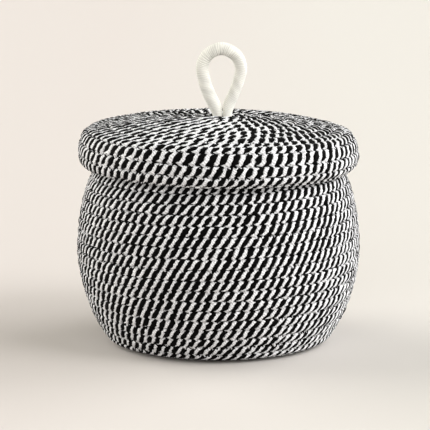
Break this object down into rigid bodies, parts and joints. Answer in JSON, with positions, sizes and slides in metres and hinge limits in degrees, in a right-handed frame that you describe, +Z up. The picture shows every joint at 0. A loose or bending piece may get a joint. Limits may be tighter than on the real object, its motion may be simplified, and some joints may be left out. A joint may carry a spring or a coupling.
{
  "type": "lidded basket",
  "caption": "Round basket with a loose lid and a loop handle, wound from thick cord covered in alternating black and white yarn stitches.",
  "frame": {"origin": "centre of the flat underside, on the surface that the basket stands on", "axes": "+Z up, along the basket's axis and the lid's lift; the loop handle lies in the XZ plane, and -Y is the pictured front"},
  "size_m": [0.2598, 0.2598, 0.2756],
  "materials": {
    "stitched_cord": "thick cord covered in alternating black and white yarn stitches",
    "white_yarn": "matte, softly twisted off-white yarn",
    "black_yarn": "matte, softly twisted black yarn",
    "core_cord": "matte natural cord",
    "white_thread": "fine off-white thread wound closely, with a slight sheen"
  },
  "bodies": {
    "basket": {"basket_base": "stitched_cord", "basket_wall": "stitched_cord"},
    "lid": {"lid_crown": "stitched_cord", "lid_skirt": "stitched_cord", "handle_core": "core_cord", "handle_winding": "white_thread", "handle_lashing": "white_thread"}
  },
  "joints": [
    {"name": "lid_lift", "type": "slide", "parent": "basket", "child": "lid", "axis": [0, 0, 1], "range_m": [0, 0.12]}
  ]
}
